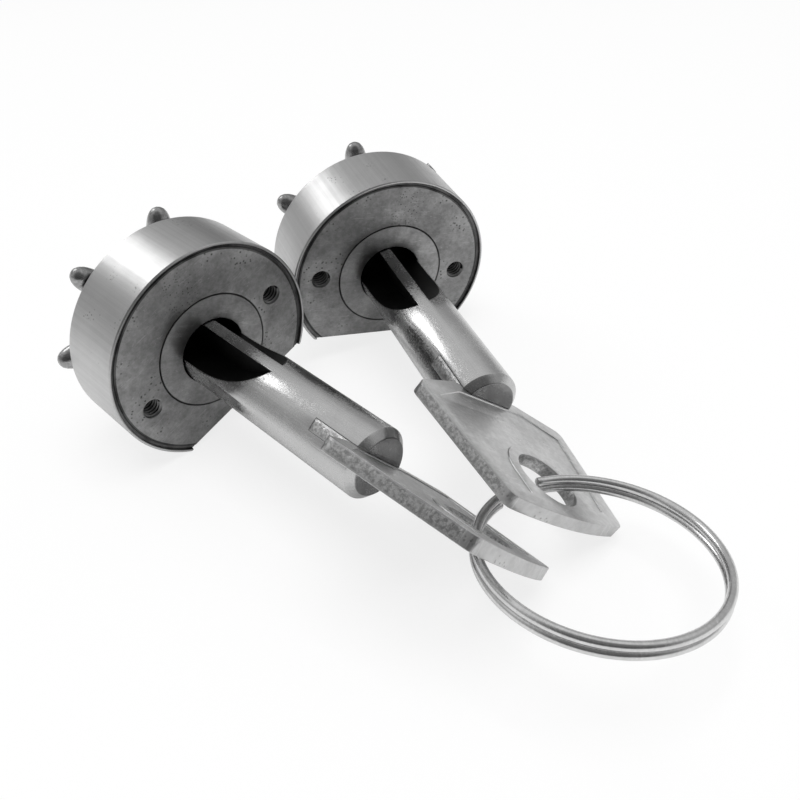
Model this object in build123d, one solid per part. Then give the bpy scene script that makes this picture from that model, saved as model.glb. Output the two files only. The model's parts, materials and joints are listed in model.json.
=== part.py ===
from build123d import *
from math import asin, cos, degrees, radians, sin, sqrt
import os

# Two like cylinder locks with their keys, both keys on one split ring.
# All lengths are millimetres. Each lock is built about its own axis:
# the lip of its drum lies at z = 0 and +Z points out of the face, along the key.
# Angles run counter-clockwise seen from the front, from the line of the tapped holes.

# Drum and what is pressed into it
DRUM_R = 14.0
DRUM_LENGTH = 9.2
SLEEVE_WALL = 0.7
FLAT_FROM_AXIS = 9.6
EDGE_CHAMFER = 0.2
PRESS_GAP = 0.02
FACE_RECESS = 0.3
FACE_PLATE_T = 4.0
BACK_COVER_T = 1.3
TAPPED_HOLE_SPACING = 20.2
TAPPED_HOLE_R = 1.25

# Running clearances
RUN_GAP = 0.06
AXIAL_GAP = 0.1

# Turning plug and its stop
PLUG_R = 7.4
COLLAR_R = 8.4
COLLAR_T = 1.1
KEY_BORE_GAP = 0.12
DRIVE_DEPTH = 2.4
STOP_PIN_R = 0.65
STOP_GROOVE_DEPTH = 0.9
STOP_GAP = 0.1
TURN_RANGE = 90.0

# Rear head with its radial pins
HEAD_INSIDE_DRUM = 4.0
HEAD_T = 3.8
PIN_R = 1.5
PIN_TAIL_R = 1.2
PIN_STEP_INSIDE_HEAD = 2.4
PIN_BACK_FROM_DRUM = 1.9
PIN_PAST_DRUM = 0.75
PIN_POINT_R = 0.4
PIN_NOSE_R = 1.05
PIN_NOSE_TAPER = 1.2
PIN_ANGLES = (-8.0, 43.7, 89.0)
PIN_NAMES = ("first_pin", "second_pin", "third_pin")
GUIDE_PIN_R = 0.9
GUIDE_PIN_ANGLE = -62.0
GUIDE_PIN_SEAT_DEPTH = 4.4
GUIDE_PIN_PAST_DRUM = 0.1
BAND_INSIDE_HEAD = 1.2
BAND_WIRE_R = 0.35
BAND_HOLE_R = 0.55
BAND_GROOVE_W = 1.3
BAND_GAP_ANGLE = 60.0

# Cone that spreads the pins
CONE_BIG_R = 4.1
CONE_RIM_T = 0.5
CONE_LENGTH = 3.0
CONE_SLOPE = 0.6
CONE_TRAVEL = 2.0
CONE_BEHIND_DRUM = 0.3
CONE_GAP = 0.08
CONE_WELL_R = 1.6
CONE_WELL_DEPTH = 2.0
CONE_BORE_GAP = 0.3
SPRING_COIL_R = 1.15
SPRING_WIRE_R = 0.14
SPRING_TURNS = 3.5
CAP_T = 0.9

# Small screws
SCREW_R = 0.9
SCREW_HEAD_R = 1.6
SCREW_HEAD_T = 0.5
COVER_SCREW_INSET = 2.68
COVER_SCREW_ANGLES = (35.0, 145.0, 215.0, 325.0)
COVER_SCREW_LENGTH = 3.2
HEAD_SCREW_INSIDE_PLUG = 1.3
HEAD_SCREW_ANGLES = (150.0, 250.0)
HEAD_SCREW_LENGTH = 6.2
CAP_SCREW_INSIDE_HEAD = 3.6
CAP_SCREW_ANGLES = (112.0, 200.0, 325.0)
CAP_SCREW_LENGTH = 2.6

# Key
SHANK_R = 4.22
SHANK_OUT = 29.1
SHANK_END_CHAMFER = 0.86
WEB_T = 1.5
POCKET_END = 12.9
POCKET_FLOOR = 0.75
POCKET_CUTTER_R = 20.5
WEB_TIP_CHAMFER = 0.3
BOW_T = 1.5
BOW_SLOT_DEPTH = 7.2
BOW_FIT = 0.03
BOW_FROM_WEB = 40.5
SHOULDER_HALF_W = 12.2
SHOULDER_AT = 30.2
NECK_HALF_W = 5.4
NECK_AT = 27.5
END_HALF_W = 9.1
END_AT = 46.8
END_BULGE = 1.0
CORNER_R = 1.2
RING_HOLE_AT = 42.0
RING_HOLE_R = 3.8
BORDER_W = 1.9
PANEL_DEPTH = 0.15
ARCH_AROUND_HOLE = 1.3

# Split ring of two turns of spring wire
RING_R = 11.67
RING_WIRE_R = 0.475
RING_TURN_PITCH = 1.37
RING_STEP_ANGLE = 45.0
RING_GAP_POINTS = 240
RING_SIDE_A, RING_RISE_A = -0.4, -0.1
RING_SIDE_B, RING_RISE_B = 0.28, -0.18

# How the two locks lie: heading of the axis, its tilt, the roll of the hole line,
# and how far the plug is turned from where the key goes in
HEADING_A, TILT_A, ROLL_A = -48.56, -3.23, 20.03
HEADING_B, TILT_B, ROLL_B = -70.88, -5.44, -12.04
WEB_ANGLE_IN = 110.7
TURN_A, TURN_B = -42.7, 0.0
AXIS_DROP = 1.61
DRUM_RADII_APART = 1.42
B_FURTHER_BESIDE_A, B_LESS_BEHIND_A, B_BELOW_A = 2.38, 3.45, 0.99

# Sizes that follow from those above
SLEEVE_BORE = DRUM_R - SLEEVE_WALL
INSERT_R = SLEEVE_BORE - PRESS_GAP
FACE_Z = -FACE_RECESS
PLATE_BACK_Z = FACE_Z - FACE_PLATE_T
COVER_FRONT_Z = -DRUM_LENGTH + BACK_COVER_T
PLUG_BORE_R = PLUG_R + RUN_GAP
HEAD_FRONT_Z = -DRUM_LENGTH - AXIAL_GAP
HEAD_BACK_Z = HEAD_FRONT_Z - HEAD_T
PIN_Z = -DRUM_LENGTH - PIN_BACK_FROM_DRUM
KEY_BORE_R = SHANK_R + KEY_BORE_GAP
COVER_SCREW_CIRCLE = INSERT_R - COVER_SCREW_INSET
HEAD_R = DRUM_R - HEAD_INSIDE_DRUM
PIN_STEP_RADIUS = HEAD_R - PIN_STEP_INSIDE_HEAD
PIN_TIP_RADIUS = DRUM_R + PIN_PAST_DRUM
GUIDE_PIN_SEAT_RADIUS = HEAD_R - GUIDE_PIN_SEAT_DEPTH
GUIDE_PIN_TIP_RADIUS = DRUM_R + GUIDE_PIN_PAST_DRUM
BAND_R = HEAD_R - BAND_INSIDE_HEAD
HEAD_SCREW_CIRCLE = PLUG_R - HEAD_SCREW_INSIDE_PLUG
CAP_SCREW_CIRCLE = HEAD_R - CAP_SCREW_INSIDE_HEAD
CONE_FRONT_Z = -DRUM_LENGTH - CONE_BEHIND_DRUM
DRIVE_BACK_Z = CONE_FRONT_Z + CONE_TRAVEL + AXIAL_GAP
ENTRY_Z = DRIVE_BACK_Z + DRIVE_DEPTH
CONE_BACK_Z = CONE_FRONT_Z - CONE_LENGTH
CONE_TAPER_Z = CONE_FRONT_Z - CONE_RIM_T
CONE_R_AT_PIN = CONE_BIG_R - CONE_SLOPE * (CONE_TAPER_Z - PIN_Z)
PIN_POINT_RADIUS = CONE_R_AT_PIN + CONE_SLOPE * PIN_POINT_R + CONE_GAP
PIN_TRAVEL = CONE_SLOPE * CONE_TRAVEL
KEY_TIP_Z = CONE_FRONT_Z + AXIAL_GAP / 2
BLADE_TOP_Z = ENTRY_Z + AXIAL_GAP
POCKET_RUN_OUT = sqrt(POCKET_CUTTER_R ** 2 - (POCKET_CUTTER_R + POCKET_FLOOR - SHANK_R) ** 2)
POCKET_DEEP_TO = POCKET_END - POCKET_RUN_OUT
BOW_SLOT_Z = SHANK_OUT - BOW_SLOT_DEPTH
STOP_Z = (PLATE_BACK_Z - COLLAR_T + COVER_FRONT_Z) / 2 - AXIAL_GAP
STOP_ANGLE = 90.0


def disc(radius, low, high):
    return Pos(0, 0, low) * Cylinder(radius, high - low, align=(Align.CENTER, Align.CENTER, Align.MIN))


def tube(outer, inner, low, high):
    return disc(outer, low, high) - disc(inner, low - 1, high + 1)


def taper(low_r, high_r, height):
    return Cone(low_r, high_r, height, align=(Align.CENTER, Align.CENTER, Align.MIN))


def at_angle(angle, radius, z):
    return Rot(0, 0, angle) * Pos(radius, 0, z)


def radial_rod(radius, start, end, angle, z):
    rod = Cylinder(radius, end - start, align=(Align.CENTER, Align.CENTER, Align.MIN))
    return Rot(0, 0, angle) * Pos(start, 0, z) * Rot(0, 90, 0) * rod


def wedge(radius, height, sweep):
    # Sector of a disc from the +X line through the given sweep
    return Cylinder(radius, height, arc_size=sweep, align=(Align.NONE, Align.NONE, Align.CENTER))


def flat_cutter():
    # Everything beyond the flat that is milled along the drum
    size = 4 * DRUM_R
    block = Box(size, size, size, align=(Align.CENTER, Align.MAX, Align.CENTER))
    return Pos(0, -FLAT_FROM_AXIS, 0) * block


def screw_at(angle, circle, top, length):
    # Flat-headed screw whose head lies flush in the face at z = top, shank towards +Z
    shank = disc(SCREW_R, 0, length)
    head = Pos(0, 0, SCREW_HEAD_T / 2) * Cone(SCREW_HEAD_R, SCREW_R, SCREW_HEAD_T)
    slot = Box(2 * SCREW_HEAD_R, SCREW_R / 2, SCREW_HEAD_T, align=(Align.CENTER, Align.CENTER, Align.CENTER))
    return at_angle(angle, circle, top) * (shank + head - slot)


def screw_hole(angle, circle, top, length):
    shank = disc(SCREW_R + PRESS_GAP, -1, length + PRESS_GAP)
    head = Pos(0, 0, SCREW_HEAD_T / 2) * Cone(SCREW_HEAD_R + PRESS_GAP, SCREW_R + PRESS_GAP, SCREW_HEAD_T)
    return at_angle(angle, circle, top) * (shank + head)


def make_drum_sleeve():
    sleeve = tube(DRUM_R, SLEEVE_BORE, -DRUM_LENGTH, 0)
    rims = sleeve.edges().filter_by(GeomType.CIRCLE).filter_by(lambda edge: edge.radius > SLEEVE_BORE + 0.1)
    sleeve = chamfer(rims, EDGE_CHAMFER)
    return sleeve - flat_cutter()


def make_face_plate():
    plate = tube(INSERT_R, PLUG_BORE_R, PLATE_BACK_Z, FACE_Z)
    hole = disc(TAPPED_HOLE_R, PLATE_BACK_Z - 1, FACE_Z + 1)
    for side in (-1, 1):
        plate -= Pos(side * TAPPED_HOLE_SPACING / 2, 0, 0) * hole
    return plate - flat_cutter()


def make_body_ring():
    # Steps out around the plug's collar and holds the stop pin
    body = tube(INSERT_R, PLUG_BORE_R, COVER_FRONT_Z, PLATE_BACK_Z)
    body -= disc(COLLAR_R + RUN_GAP, PLATE_BACK_Z - COLLAR_T - AXIAL_GAP, PLATE_BACK_Z + 1)
    body -= radial_rod(STOP_PIN_R + PRESS_GAP, 0, DRUM_R, STOP_ANGLE, STOP_Z)
    for angle in COVER_SCREW_ANGLES:
        body -= screw_hole(angle, COVER_SCREW_CIRCLE, -DRUM_LENGTH, COVER_SCREW_LENGTH)
    return body - flat_cutter()


def make_back_cover():
    cover = tube(INSERT_R, PLUG_BORE_R, -DRUM_LENGTH, COVER_FRONT_Z)
    for angle in COVER_SCREW_ANGLES:
        cover -= screw_hole(angle, COVER_SCREW_CIRCLE, -DRUM_LENGTH, COVER_SCREW_LENGTH)
    return cover - flat_cutter()


def make_cover_screws():
    return Part() + [
        screw_at(angle, COVER_SCREW_CIRCLE, -DRUM_LENGTH, COVER_SCREW_LENGTH) for angle in COVER_SCREW_ANGLES
    ]


def make_stop_pin():
    inner_end = PLUG_R - STOP_GROOVE_DEPTH + STOP_GAP
    return radial_rod(STOP_PIN_R, inner_end, INSERT_R - STOP_GAP, STOP_ANGLE, STOP_Z)


def stop_groove():
    # The pin meets one end of the groove where the key goes in, the other a quarter turn on
    half_width = degrees(asin((STOP_PIN_R + STOP_GAP) / PLUG_R))
    start = STOP_ANGLE - half_width
    sweep = TURN_RANGE + 2 * half_width
    height = 2 * (STOP_PIN_R + STOP_GAP)
    groove = tube(COLLAR_R, PLUG_R - STOP_GROOVE_DEPTH, STOP_Z - height / 2, STOP_Z + height / 2)
    return groove & (Rot(0, 0, start) * Pos(0, 0, STOP_Z) * wedge(2 * PLUG_R, 2 * height, sweep))


def web_slot(clearance, low, high):
    # Slot that the flat end of the key fills, and by which the key turns the plug
    width = WEB_T + 2 * clearance
    slot = Box(4 * SHANK_R, width, high - low, align=(Align.CENTER, Align.CENTER, Align.MIN))
    return (Pos(0, 0, low) * slot) & disc(SHANK_R + clearance, low, high)


def make_plug():
    plug = disc(PLUG_R, HEAD_FRONT_Z, FACE_Z)
    plug += disc(COLLAR_R, PLATE_BACK_Z - COLLAR_T, PLATE_BACK_Z - AXIAL_GAP / 2)
    plug -= disc(KEY_BORE_R, ENTRY_Z, FACE_Z + 1)
    plug -= Rot(0, 0, WEB_ANGLE_IN) * web_slot(RUN_GAP, DRIVE_BACK_Z - 1, ENTRY_Z + 1)
    plug -= disc(KEY_BORE_R, HEAD_FRONT_Z - 1, DRIVE_BACK_Z)
    plug -= stop_groove()
    for angle in HEAD_SCREW_ANGLES:
        hole = disc(SCREW_R + PRESS_GAP, HEAD_FRONT_Z - 1, HEAD_BACK_Z + HEAD_SCREW_LENGTH + PRESS_GAP)
        plug -= Rot(0, 0, WEB_ANGLE_IN + angle) * Pos(HEAD_SCREW_CIRCLE, 0, 0) * hole
    return plug


def pin_bore(angle):
    outer = radial_rod(PIN_R + RUN_GAP, PIN_STEP_RADIUS - PIN_TRAVEL - STOP_GAP, HEAD_R + 1, angle, PIN_Z)
    inner = radial_rod(PIN_TAIL_R + RUN_GAP, 0, HEAD_R, angle, PIN_Z)
    return outer + inner


def make_pin_head():
    head = disc(HEAD_R, HEAD_BACK_Z, HEAD_FRONT_Z)
    head -= disc(CONE_BIG_R + CONE_BORE_GAP, HEAD_BACK_Z - 1, HEAD_FRONT_Z + 1)
    groove_top = PIN_Z + BAND_HOLE_R
    head -= tube(BAND_R + BAND_GROOVE_W / 2, BAND_R - BAND_GROOVE_W / 2, HEAD_BACK_Z - 1, groove_top)
    for angle in PIN_ANGLES:
        head -= pin_bore(WEB_ANGLE_IN + angle)
    seat_r, seat_from = GUIDE_PIN_R + PRESS_GAP, GUIDE_PIN_SEAT_RADIUS - PRESS_GAP
    head -= radial_rod(seat_r, seat_from, HEAD_R + 1, WEB_ANGLE_IN + GUIDE_PIN_ANGLE, PIN_Z)
    for angle in HEAD_SCREW_ANGLES:
        head -= screw_hole(WEB_ANGLE_IN + angle, HEAD_SCREW_CIRCLE, HEAD_BACK_Z, HEAD_SCREW_LENGTH)
    for angle in CAP_SCREW_ANGLES:
        hole = disc(SCREW_R + PRESS_GAP, HEAD_BACK_Z - 1, HEAD_BACK_Z - CAP_T + CAP_SCREW_LENGTH + PRESS_GAP)
        head -= Rot(0, 0, WEB_ANGLE_IN + angle) * Pos(CAP_SCREW_CIRCLE, 0, 0) * hole
    return head


def make_guide_pin():
    # Flat-ended pin pressed into the head; it keeps to its groove in the bore that the lock fits
    angle = WEB_ANGLE_IN + GUIDE_PIN_ANGLE
    return radial_rod(GUIDE_PIN_R, GUIDE_PIN_SEAT_RADIUS, GUIDE_PIN_TIP_RADIUS, angle, PIN_Z)


def make_head_screws():
    return Part() + [
        screw_at(WEB_ANGLE_IN + angle, HEAD_SCREW_CIRCLE, HEAD_BACK_Z, HEAD_SCREW_LENGTH)
        for angle in HEAD_SCREW_ANGLES
    ]


def make_rear_cap():
    cap = disc(HEAD_R, HEAD_BACK_Z - CAP_T, HEAD_BACK_Z)
    cap = chamfer(cap.edges().group_by(Axis.Z)[0], EDGE_CHAMFER)
    for angle in CAP_SCREW_ANGLES:
        cap -= screw_hole(WEB_ANGLE_IN + angle, CAP_SCREW_CIRCLE, HEAD_BACK_Z - CAP_T, CAP_SCREW_LENGTH)
    return cap


def make_cap_screws():
    return Part() + [
        screw_at(WEB_ANGLE_IN + angle, CAP_SCREW_CIRCLE, HEAD_BACK_Z - CAP_T, CAP_SCREW_LENGTH)
        for angle in CAP_SCREW_ANGLES
    ]


def make_pin_band():
    # Open ring of spring wire that runs through every pin and draws them inwards
    open_from = WEB_ANGLE_IN + GUIDE_PIN_ANGLE - BAND_GAP_ANGLE / 2
    band = Pos(0, 0, PIN_Z) * Torus(BAND_R, BAND_WIRE_R)
    return band - Rot(0, 0, open_from) * Pos(0, 0, PIN_Z) * wedge(HEAD_R, 4 * BAND_WIRE_R, BAND_GAP_ANGLE)


def make_pin(angle):
    # Stepped steel pin with a pointed tail on the cone and a bullet nose outside
    point_length = PIN_TAIL_R - PIN_POINT_R
    point = Pos(0, 0, PIN_POINT_RADIUS) * taper(PIN_POINT_R, PIN_TAIL_R, point_length)
    tail = disc(PIN_TAIL_R, PIN_POINT_RADIUS + point_length, PIN_STEP_RADIUS)
    dome_z = PIN_TIP_RADIUS - PIN_NOSE_R
    body = disc(PIN_R, PIN_STEP_RADIUS, dome_z - PIN_NOSE_TAPER)
    nose = Pos(0, 0, dome_z - PIN_NOSE_TAPER) * taper(PIN_R, PIN_NOSE_R, PIN_NOSE_TAPER)
    pin = point + tail + body + nose + Pos(0, 0, dome_z) * Sphere(PIN_NOSE_R)
    pin -= Pos(0, 0, BAND_R) * Rot(90, 0, 0) * Cylinder(BAND_HOLE_R, 4 * PIN_R)
    return Rot(0, 0, WEB_ANGLE_IN + angle) * Pos(0, 0, PIN_Z) * Rot(0, 90, 0) * pin


def make_spreader_cone():
    rim = disc(CONE_BIG_R, CONE_TAPER_Z, CONE_FRONT_Z)
    taper_length = CONE_TAPER_Z - CONE_BACK_Z
    small_r = CONE_BIG_R - CONE_SLOPE * taper_length
    slope = Pos(0, 0, CONE_BACK_Z) * taper(small_r, CONE_BIG_R, taper_length)
    well = disc(CONE_WELL_R, CONE_BACK_Z - 1, CONE_BACK_Z + CONE_WELL_DEPTH)
    return rim + slope - well


def make_cone_spring():
    # Coil spring between the cap and the bottom of the cone's well
    low = HEAD_BACK_Z + SPRING_WIRE_R + PRESS_GAP
    high = CONE_BACK_Z + CONE_WELL_DEPTH - SPRING_WIRE_R - PRESS_GAP
    pitch = (high - low) / SPRING_TURNS
    path = Helix(pitch, high - low, SPRING_COIL_R)
    section = Plane(path @ 0, z_dir=path % 0) * Circle(SPRING_WIRE_R)
    return Pos(0, 0, low) * sweep(section, path=path, is_frenet=True)


def pocket_cutter(side):
    # Down to a flat blade in the driving slot, and from there outwards a notch beside the web,
    # whose floor rises where the cutter ran out
    reach = 2 * SHANK_R
    blade = Box(2 * reach, reach, reach, align=(Align.CENTER, Align.MIN, Align.MAX))
    notch = Box(reach, reach, POCKET_DEEP_TO - BLADE_TOP_Z, align=(Align.MIN, Align.MIN, Align.MIN))
    wheel = Rot(-90, 0, 0) * Cylinder(POCKET_CUTTER_R, reach, align=(Align.CENTER, Align.CENTER, Align.MIN))
    cutter = Pos(0, 0, BLADE_TOP_Z) * (blade + Pos(POCKET_FLOOR, 0, 0) * notch)
    cutter += Pos(POCKET_FLOOR + POCKET_CUTTER_R, 0, POCKET_DEEP_TO) * wheel
    cutter = Pos(0, WEB_T / 2, 0) * cutter
    return cutter if side > 0 else mirror(cutter, Plane.XZ)


def make_key_shank():
    shank = disc(SHANK_R, KEY_TIP_Z, SHANK_OUT)
    ends = shank.edges().filter_by(GeomType.CIRCLE).sort_by(Axis.Z)
    shank = chamfer(ends[-1], SHANK_END_CHAMFER)
    ends = shank.edges().filter_by(GeomType.CIRCLE).sort_by(Axis.Z)
    shank = chamfer(ends[0], WEB_TIP_CHAMFER)
    shank -= pocket_cutter(1)
    shank -= pocket_cutter(-1)
    slot_w = BOW_T + 2 * BOW_FIT
    slot = Box(4 * SHANK_R, slot_w, 2 * BOW_SLOT_DEPTH, align=(Align.CENTER, Align.CENTER, Align.MIN))
    shank -= Rot(0, 0, BOW_FROM_WEB) * Pos(0, 0, BOW_SLOT_Z) * slot
    return Rot(0, 0, WEB_ANGLE_IN) * shank


def bow_outline(inset):
    # Flat outline in the plane of the bow: x across the key, y along it
    half_w, end_w = SHOULDER_HALF_W - inset, END_HALF_W - inset
    shoulder, end = SHOULDER_AT + inset, END_AT - inset
    neck_w = min(NECK_HALF_W, half_w)
    neck = NECK_AT + inset
    crown = ThreePointArc((end_w, end), (0, end + END_BULGE), (-end_w, end))
    sides = Polyline(
        (-end_w, end), (-half_w, shoulder), (-neck_w, neck), (neck_w, neck), (half_w, shoulder), (end_w, end)
    )
    face = make_face(Curve() + [crown, sides])
    corners = [vertex for vertex in face.vertices() if abs(vertex.X) > NECK_HALF_W + inset / 2]
    return fillet(corners, CORNER_R - 0.4 * inset)


def make_key_bow():
    # Stamped plate; its border stands proud, and so does an arch from the far edge round the hole
    tongue_w = sqrt(SHANK_R ** 2 - (BOW_T / 2) ** 2)
    tongue_length = NECK_AT - BOW_SLOT_Z + 2 * BOW_FIT
    tongue = Pos(0, (BOW_SLOT_Z + NECK_AT) / 2 + BOW_FIT) * Rectangle(2 * tongue_w, tongue_length)
    plate = extrude(bow_outline(0) + tongue, BOW_T / 2, both=True)
    arch_r = RING_HOLE_R + ARCH_AROUND_HOLE
    arch = Circle(arch_r) + Pos(0, arch_r) * Rectangle(2 * arch_r, 2 * arch_r)
    panel = bow_outline(BORDER_W) - Pos(0, RING_HOLE_AT) * arch
    panel = extrude(panel, BOW_T)
    floor = BOW_T / 2 - PANEL_DEPTH
    plate -= Pos(0, 0, floor) * panel
    plate -= mirror(Pos(0, 0, floor) * panel, Plane.XY)
    plate -= Pos(0, RING_HOLE_AT) * Cylinder(RING_HOLE_R, 4 * BOW_T)
    return Rot(0, 0, WEB_ANGLE_IN + BOW_FROM_WEB) * Rot(90, 0, 0) * plate


def axis_direction(heading, tilt):
    h, t = radians(heading), radians(tilt)
    return Vector(cos(h) * cos(t), sin(h) * cos(t), sin(t))


def lock_plane(origin, heading, tilt, roll):
    axis = axis_direction(heading, tilt)
    level = Vector(0, 0, 1).cross(axis).normalized()
    upright = axis.cross(level)
    hole_line = level * cos(radians(roll)) + upright * sin(radians(roll))
    return Plane(origin=origin, x_dir=hole_line, z_dir=axis)


PLANE_A = lock_plane((0, 0, DRUM_R - AXIS_DROP), HEADING_A, TILT_A, ROLL_A)
B_BESIDE_A = DRUM_RADII_APART * DRUM_R + B_FURTHER_BESIDE_A
B_BEHIND_A = DRUM_RADII_APART * DRUM_R - B_LESS_BEHIND_A
PLANE_B = lock_plane((B_BESIDE_A, B_BEHIND_A, DRUM_R - AXIS_DROP - B_BELOW_A), HEADING_B, TILT_B, ROLL_B)


def point_in_bow(plane, turn, side, rise):
    # Point level with a bow's hole, off its centre along the width and across the plate
    angle = radians(WEB_ANGLE_IN + BOW_FROM_WEB + turn)
    x = side * cos(angle) + rise * sin(angle)
    y = side * sin(angle) - rise * cos(angle)
    return plane.from_local_coords((x, y, RING_HOLE_AT))


def ring_plane():
    # The ring lies level across the two holes, its centre on the side away from the locks
    start = Vector(point_in_bow(PLANE_A, TURN_A, RING_SIDE_A, RING_RISE_A))
    end = Vector(point_in_bow(PLANE_B, TURN_B, RING_SIDE_B, RING_RISE_B))
    chord = end - start
    along = chord.normalized()
    up = Vector(0, 0, 1)
    normal = (up - along * up.dot(along)).normalized()
    outward = along.cross(normal)
    reach = sqrt(RING_R ** 2 - (chord.length / 2) ** 2)
    centre = start + chord * 0.5 + outward * reach
    return Plane(origin=centre, x_dir=outward, z_dir=normal)


def on_ring(angle, height):
    return RING_R * cos(radians(angle)), RING_R * sin(radians(angle)), height


def level_turn(height):
    # Two arcs round the ring, from one side of the step to its other side
    first, last = RING_STEP_ANGLE / 2, 360 - RING_STEP_ANGLE / 2
    return [
        ThreePointArc(on_ring(first, height), on_ring((first + 180) / 2, height), on_ring(180, height)),
        ThreePointArc(on_ring(180, height), on_ring((180 + last) / 2, height), on_ring(last, height)),
    ]


def ring_wire():
    # Two level turns, joined by a step of two arcs that meet the turns and each other smoothly
    rise = RING_TURN_PITCH / 2
    start = on_ring(-RING_STEP_ANGLE / 2, -rise)
    end = on_ring(RING_STEP_ANGLE / 2, rise)
    middle = (sqrt(RING_R ** 2 + rise ** 2), 0, 0)
    heading = (sin(radians(RING_STEP_ANGLE / 2)), cos(radians(RING_STEP_ANGLE / 2)), 0)
    climb = TangentArc(start, middle, tangent=heading)
    settle = TangentArc(middle, end, tangent=climb % 1)
    return Wire(level_turn(-rise) + [climb, settle] + level_turn(rise))


def make_split_ring():
    wire = ring_wire()
    section = Plane(wire @ 0, z_dir=wire % 0) * Circle(RING_WIRE_R)
    return sweep(section, path=wire)


RING_PLANE = ring_plane()


def lock_pieces(letter, plane, turn):
    # Pieces of one lock with its key: name, solid in the row's frame
    drum = {
        "drum_sleeve": make_drum_sleeve(),
        "face_plate": make_face_plate(),
        "body_ring": make_body_ring(),
        "back_cover": make_back_cover(),
        "cover_screws": make_cover_screws(),
        "stop_pin": make_stop_pin(),
    }
    turning = {
        "plug": make_plug(),
        "pin_head": make_pin_head(),
        "guide_pin": make_guide_pin(),
        "head_screws": make_head_screws(),
        "rear_cap": make_rear_cap(),
        "cap_screws": make_cap_screws(),
        "pin_band": make_pin_band(),
        "spreader_cone": make_spreader_cone(),
        "cone_spring": make_cone_spring(),
        "key_shank": make_key_shank(),
        "key_bow": make_key_bow(),
    }
    for name, angle in zip(PIN_NAMES, PIN_ANGLES):
        turning[name] = make_pin(angle)
    pieces = {name + "_" + letter: plane.location * solid for name, solid in drum.items()}
    for name, solid in turning.items():
        pieces[name + "_" + letter] = plane.location * Rot(0, 0, turn) * solid
    return pieces


def all_pieces():
    pieces = lock_pieces("a", PLANE_A, TURN_A)
    pieces.update(lock_pieces("b", PLANE_B, TURN_B))
    pieces["split_ring"] = RING_PLANE.location * make_split_ring()
    return pieces


def least_ring_gap():
    # Least distance between points of the wire that lie more than a quarter turn apart
    wire = ring_wire()
    points = [wire @ (index / RING_GAP_POINTS) for index in range(RING_GAP_POINTS + 1)]
    quarter = RING_GAP_POINTS // 8 + 1
    distances = [
        (points[i] - points[j]).length for i in range(len(points)) for j in range(i + quarter, len(points))
    ]
    return min(distances) - 2 * RING_WIRE_R


PIECES = all_pieces()
BOX = Compound(children=[Compound(solid.solids()) for solid in PIECES.values()]).bounding_box()
SHIFT = Pos(-BOX.center().X, -BOX.center().Y, -BOX.min.Z)

os.makedirs("parts", exist_ok=True)
for node, solid in PIECES.items():
    export_step(SHIFT * solid, "parts/" + node + ".step")
print("least gap between the ring's turns:", round(least_ring_gap(), 3), "mm")
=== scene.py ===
import json
from math import pi, radians

import bmesh
import bpy
from mathutils import Matrix, Vector


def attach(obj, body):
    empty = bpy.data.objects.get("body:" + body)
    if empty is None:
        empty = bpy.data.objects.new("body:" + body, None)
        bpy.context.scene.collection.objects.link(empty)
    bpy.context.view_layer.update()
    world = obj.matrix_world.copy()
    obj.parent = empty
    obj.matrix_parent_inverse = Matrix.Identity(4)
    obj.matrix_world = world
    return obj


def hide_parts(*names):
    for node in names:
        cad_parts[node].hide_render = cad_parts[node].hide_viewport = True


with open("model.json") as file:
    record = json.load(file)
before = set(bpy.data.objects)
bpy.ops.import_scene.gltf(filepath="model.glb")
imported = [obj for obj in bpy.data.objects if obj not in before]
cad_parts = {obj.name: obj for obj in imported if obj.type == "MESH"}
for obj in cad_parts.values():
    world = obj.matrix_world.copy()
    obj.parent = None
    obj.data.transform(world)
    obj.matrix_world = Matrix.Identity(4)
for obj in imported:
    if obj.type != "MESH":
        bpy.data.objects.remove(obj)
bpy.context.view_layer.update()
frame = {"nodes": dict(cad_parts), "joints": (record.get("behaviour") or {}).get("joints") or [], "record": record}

# Where the two locks lie. A lock's frame has z out of its face along the key and x along the
# line of its tapped holes; plug, key and bow are turned further in it. The ring's frame has x
# towards the far key's ring hole. Sizes of pieces are in millimetres; MM makes them metres.
MM = 0.001
WEB_ANGLE = radians(110.7)
BOW_ANGLE = radians(40.5)
RING_HOLE_AT = 42.0


def columns(x, y, z, origin):
    # The place of a frame whose axes and origin are given
    place = Matrix((x, y, z)).transposed().to_4x4()
    place.translation = origin
    return place


joints = {joint["name"]: joint for joint in frame["joints"]}
mounts = {mount["name"]: mount for mount in frame["record"]["mounts"]}
drum_place, plug_place, key_place, bow_place = {}, {}, {}, {}
for lock in "ab":
    out = Vector(joints["drum_turn_" + lock]["axis"])
    up = -Vector(mounts["drum_flat_" + lock]["axis"])
    drum_place[lock] = columns(up.cross(out), up, out, Vector(joints["drum_turn_" + lock]["pos_m"]))
    plug_turn = radians(joints["drum_turn_" + lock]["range_deg"][0])
    plug_place[lock] = drum_place[lock] @ Matrix.Rotation(plug_turn, 4, "Z")
    key_place[lock] = plug_place[lock] @ Matrix.Rotation(WEB_ANGLE, 4, "Z")
    bow_turn = Matrix.Rotation(BOW_ANGLE, 4, "Z")
    bow_place[lock] = key_place[lock] @ bow_turn @ Matrix.Rotation(pi / 2, 4, "X")
ring_centre = Vector(joints["key_round_ring_a"]["pos_m"])
ring_up = Vector(joints["key_round_ring_a"]["axis"])
to_far_key = bow_place["b"] @ Vector((0, RING_HOLE_AT * MM, 0)) - ring_centre
to_far_key = (to_far_key - ring_up * to_far_key.dot(ring_up)).normalized()
ring_place = columns(to_far_key, ring_up.cross(to_far_key), ring_up, ring_centre)


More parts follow.
